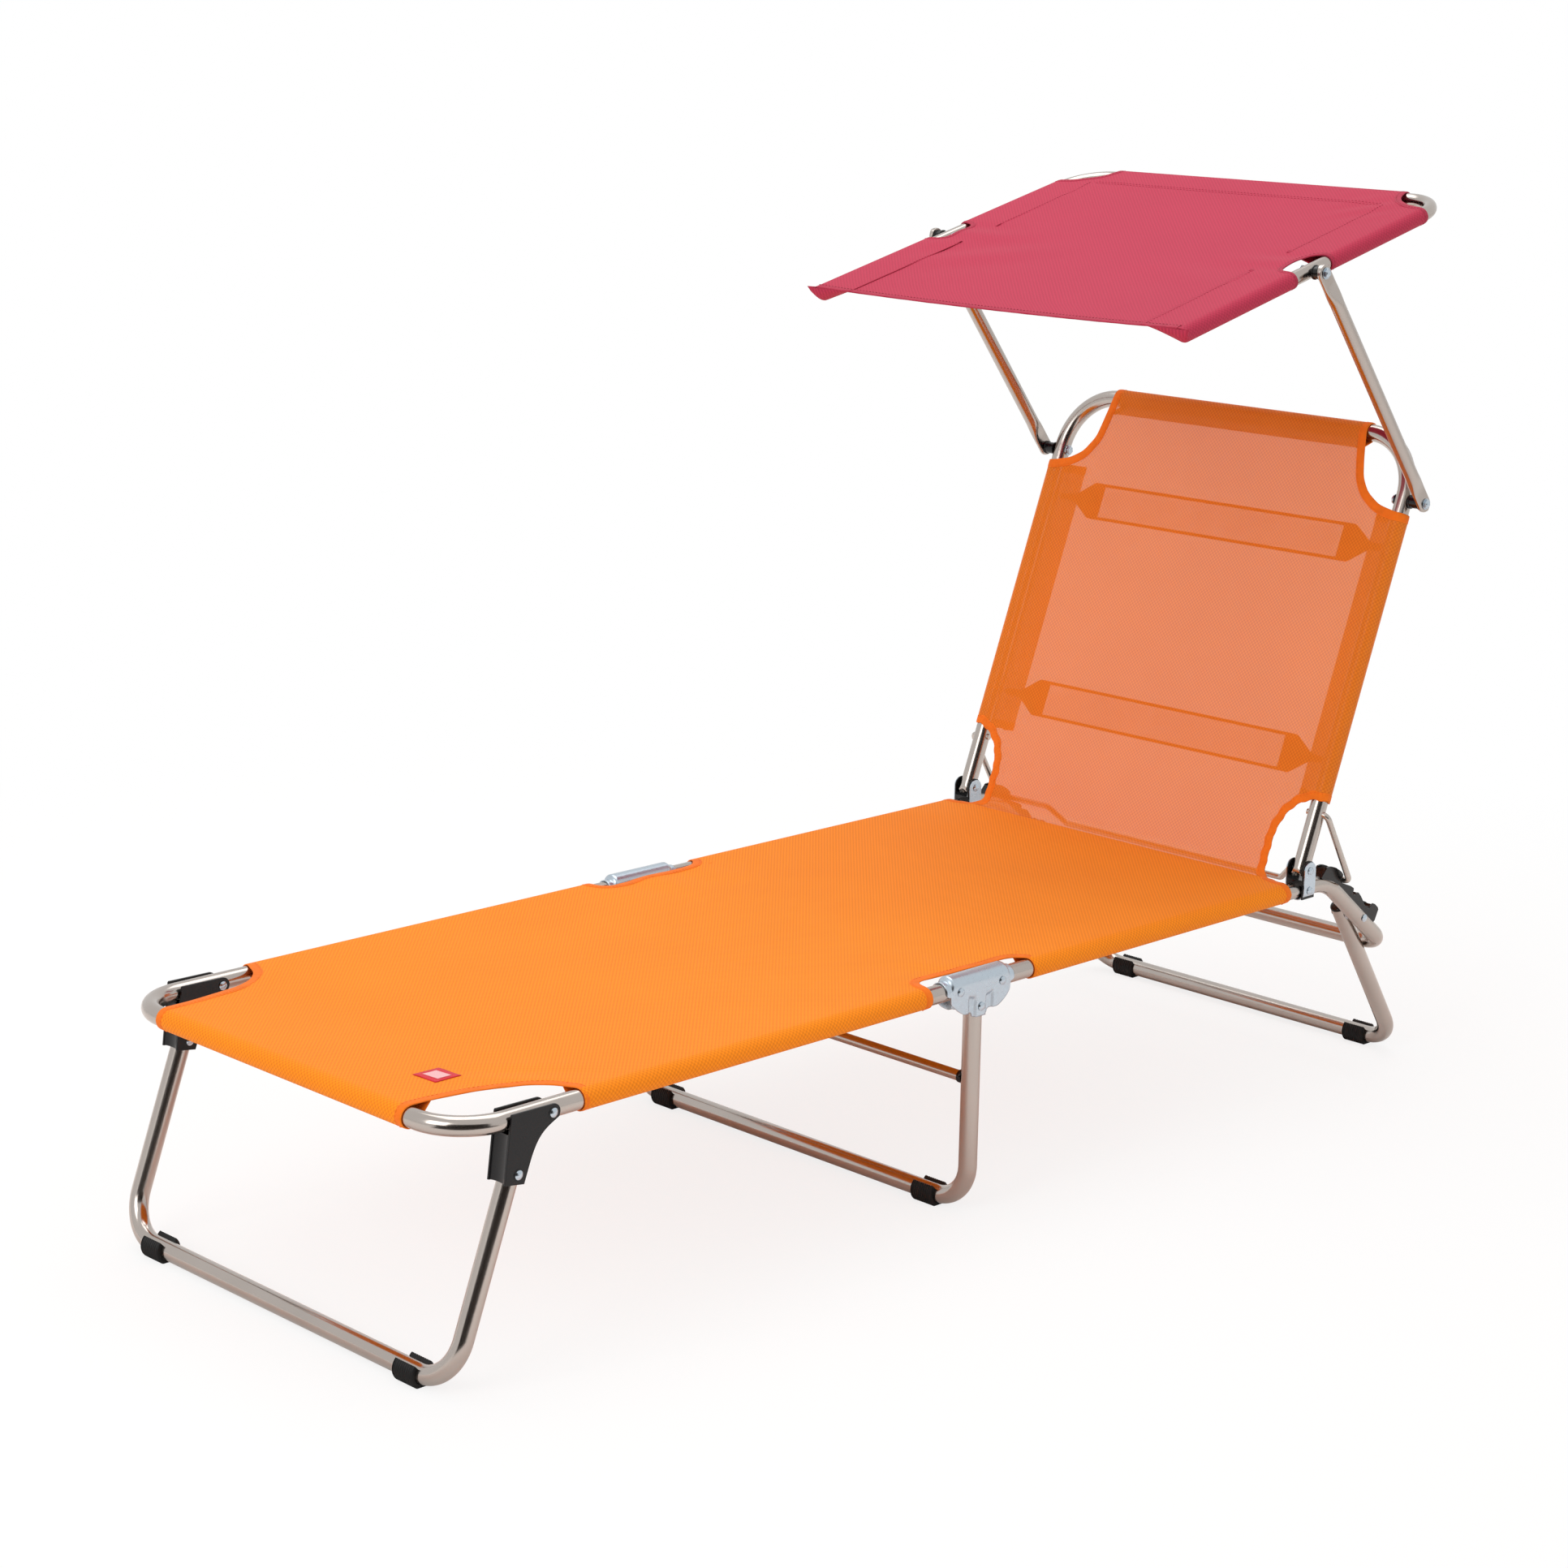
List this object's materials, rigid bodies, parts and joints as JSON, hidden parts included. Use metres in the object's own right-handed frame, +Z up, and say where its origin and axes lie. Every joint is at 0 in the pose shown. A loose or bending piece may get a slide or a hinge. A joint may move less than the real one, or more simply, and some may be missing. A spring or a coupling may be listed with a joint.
{
  "type": "sun lounger",
  "caption": "Folding sun lounger with a taut mesh bed, a reclining backrest, tubular folding legs and a tilting sunshade canopy.",
  "frame": {"origin": "on the floor under the middle of the object's bounding box", "axes": "+Z up, +Y towards the head end, +X towards the left hand of someone who lies on it"},
  "size_m": [0.658, 1.6888, 1.1548],
  "materials": {
    "frame_tube": "bright satin drawn tube",
    "zinc_steel": "bright zinc-plated steel",
    "bracket_plastic": "glossy black moulding",
    "black_plastic": "matt black moulding",
    "foot_rubber": "ribbed black rubber",
    "orange_mesh": "coated woven mesh, orange",
    "raspberry_mesh": "coated woven mesh, raspberry"
  },
  "bodies": {
    "seat_frame": {"seat_frame_tube": "frame_tube", "seat_panel": "orange_mesh", "ratchet_rack_right": "black_plastic", "ratchet_rack_left": "black_plastic", "backrest_clevis_right": "zinc_steel", "backrest_clevis_left": "zinc_steel", "clevis_liner_right": "black_plastic", "clevis_liner_left": "black_plastic", "clevis_rail_rivet_right": "zinc_steel", "clevis_rail_rivet_left": "zinc_steel", "backrest_pivot_rivet_right": "zinc_steel", "backrest_pivot_rivet_left": "zinc_steel", "rear_leg_rivet_right": "zinc_steel", "rear_leg_rivet_left": "zinc_steel"},
    "mid_frame": {"hinge_housing_right": "zinc_steel", "hinge_housing_left": "zinc_steel", "foot_hinge_rivet_right": "zinc_steel", "foot_hinge_rivet_left": "zinc_steel", "seat_hinge_rivet_right": "zinc_steel", "seat_hinge_rivet_left": "zinc_steel", "mid_leg_rivet_right": "zinc_steel", "mid_leg_rivet_left": "zinc_steel", "mid_leg_tube": "frame_tube", "mid_leg_brace": "frame_tube", "mid_foot_right": "foot_rubber", "mid_foot_left": "foot_rubber"},
    "foot_frame": {"foot_frame_tube": "frame_tube", "foot_panel": "orange_mesh", "front_leg_pivot_rivet_right": "zinc_steel", "front_leg_pivot_rivet_left": "zinc_steel"},
    "front_leg": {"front_leg_tube": "frame_tube", "front_leg_bracket_right": "bracket_plastic", "front_leg_bracket_left": "bracket_plastic", "front_leg_fixing_rivet_right": "zinc_steel", "front_leg_fixing_rivet_left": "zinc_steel", "front_foot_right": "foot_rubber", "front_foot_left": "foot_rubber"},
    "rear_leg": {"rear_leg_tube": "frame_tube", "rear_leg_cap_right": "black_plastic", "rear_leg_cap_left": "black_plastic", "rear_foot_right": "foot_rubber", "rear_foot_left": "foot_rubber"},
    "backrest": {"backrest_tube": "frame_tube", "back_panel": "orange_mesh", "upper_tension_band": "orange_mesh", "lower_tension_band": "orange_mesh", "lower_arm_bolt_right": "zinc_steel", "lower_arm_bolt_left": "zinc_steel", "lower_arm_spacer_right": "black_plastic", "lower_arm_spacer_left": "black_plastic"},
    "bail": {"support_bail": "zinc_steel"},
    "canopy_arms": {"canopy_arm_right": "frame_tube", "canopy_arm_left": "frame_tube", "upper_arm_bolt_right": "zinc_steel", "upper_arm_bolt_left": "zinc_steel", "upper_arm_spacer_right": "black_plastic", "upper_arm_spacer_left": "black_plastic"},
    "canopy": {"canopy_tube": "frame_tube", "canopy_cover": "raspberry_mesh"}
  },
  "joints": [
    {"name": "fold_head", "type": "hinge", "parent": "seat_frame", "child": "mid_frame", "pos_m": [0, -0.01954, 0.284], "axis": [1, 0, 0], "range_deg": [0, 90]},
    {"name": "fold_foot", "type": "hinge", "parent": "mid_frame", "child": "foot_frame", "pos_m": [0, -0.09054, 0.284], "axis": [1, 0, 0], "range_deg": [0, 86]},
    {"name": "front_leg_fold", "type": "hinge", "parent": "foot_frame", "child": "front_leg", "pos_m": [0, -0.70404, 0.284], "axis": [1, 0, 0], "range_deg": [0, 108]},
    {"name": "rear_leg_fold", "type": "hinge", "parent": "seat_frame", "child": "rear_leg", "pos_m": [0, 0.69291, 0.22206], "axis": [-1, 0, 0], "range_deg": [0, 130]},
    {"name": "recline", "type": "hinge", "parent": "seat_frame", "child": "backrest", "pos_m": [0, 0.56396, 0.31], "axis": [-1, 0, 0], "range_deg": [0, 56.94]},
    {"name": "bail_swing", "type": "hinge", "parent": "backrest", "child": "bail", "pos_m": [0, 0.59034, 0.37871], "axis": [1, 0, 0], "range_deg": [0, 64.5]},
    {"name": "canopy_arms_swing", "type": "hinge", "parent": "backrest", "child": "canopy_arms", "pos_m": [0, 0.73956, 0.76745], "axis": [-1, 0, 0], "range_deg": [-75, 100]},
    {"name": "canopy_tilt", "type": "hinge", "parent": "canopy_arms", "child": "canopy", "pos_m": [0, 0.50195, 1.07203], "axis": [-1, 0, 0], "range_deg": [-70, 70]}
  ],
  "couplings": [
    {"joint": "bail_swing", "follows": "recline", "ratio": 1.1314}
  ]
}
